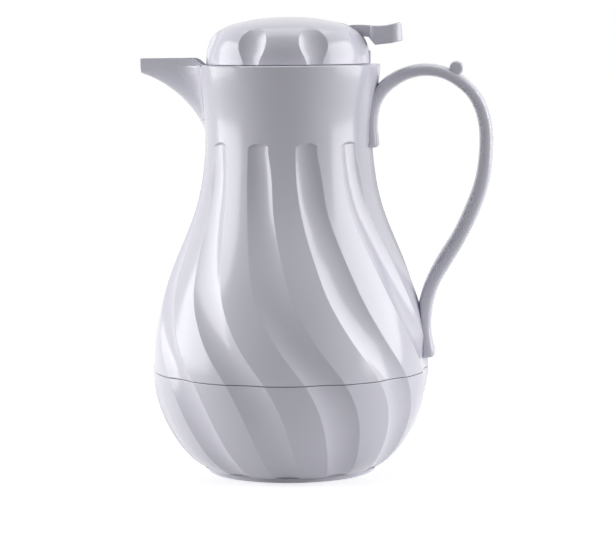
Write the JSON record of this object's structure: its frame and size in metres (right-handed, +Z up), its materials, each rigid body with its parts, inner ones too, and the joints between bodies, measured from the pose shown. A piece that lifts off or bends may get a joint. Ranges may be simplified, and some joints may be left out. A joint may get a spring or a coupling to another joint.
{
  "type": "insulated coffee server",
  "caption": "Insulated coffee server: swirl-fluted double-wall body with beak spout and loop handle, screw-in domed lid with a thumb lever that lifts a pour valve.",
  "frame": {"origin": "centre of the foot's resting plane, on the body's axis", "axes": "+Z up along the body's axis, +X towards the handle, -X towards the spout"},
  "size_m": [0.2027, 0.1595, 0.2622],
  "materials": {
    "shell_white": "glossy moulded plastic",
    "lid_white": "glossy moulded plastic",
    "liner_white": "satin moulded plastic",
    "foam": "foamed in place, matt",
    "seal": "soft silicone",
    "screw_steel": "stainless steel",
    "spring_steel": "stainless steel wire"
  },
  "bodies": {
    "pot": {"upper_shell": "shell_white", "lower_shell": "shell_white", "base_cap": "shell_white", "liner": "liner_white", "neck_collar": "shell_white", "liner_seal": "seal", "handle": "shell_white", "handle_screws": "screw_steel", "foam_insulation": "foam"},
    "lid_seal": {"lid_gasket": "seal"},
    "lid": {"lid_dome": "lid_white", "lid_stopper": "lid_white", "stopper_plate": "lid_white", "lever_pin": "screw_steel", "lid_screws": "screw_steel", "valve_spring": "spring_steel"},
    "lever": {"lever": "lid_white"},
    "valve": {"valve_stem": "lid_white", "valve_disc": "lid_white", "valve_seal": "seal", "stem_clip": "spring_steel"}
  },
  "joints": [
    {"name": "lid_lift", "type": "slide", "parent": "pot", "child": "lid_seal", "axis": [0, 0, 1], "range_m": [0, 0.05]},
    {"name": "lid_turn", "type": "hinge", "parent": "lid_seal", "child": "lid", "pos_m": [0, 0, 0.2353], "axis": [0, 0, 1], "range_deg": [0, 450]},
    {"name": "lever_press", "type": "hinge", "parent": "lid", "child": "lever", "pos_m": [0.027, 0, 0.25], "axis": [0, 1, 0], "range_deg": [0, 10.5]},
    {"name": "valve_lift", "type": "slide", "parent": "lid", "child": "valve", "axis": [0, 0, 1], "range_m": [0, 0.0047], "stiffness_N_per_m": 300, "springref_m": -0.004, "deforming": ["valve_spring"]}
  ],
  "couplings": [
    {"joint": "lid_turn", "follows": "lid_lift", "rad_per_m": 157.08},
    {"joint": "lever_press", "follows": "valve_lift", "rad_per_m": 36.765}
  ]
}
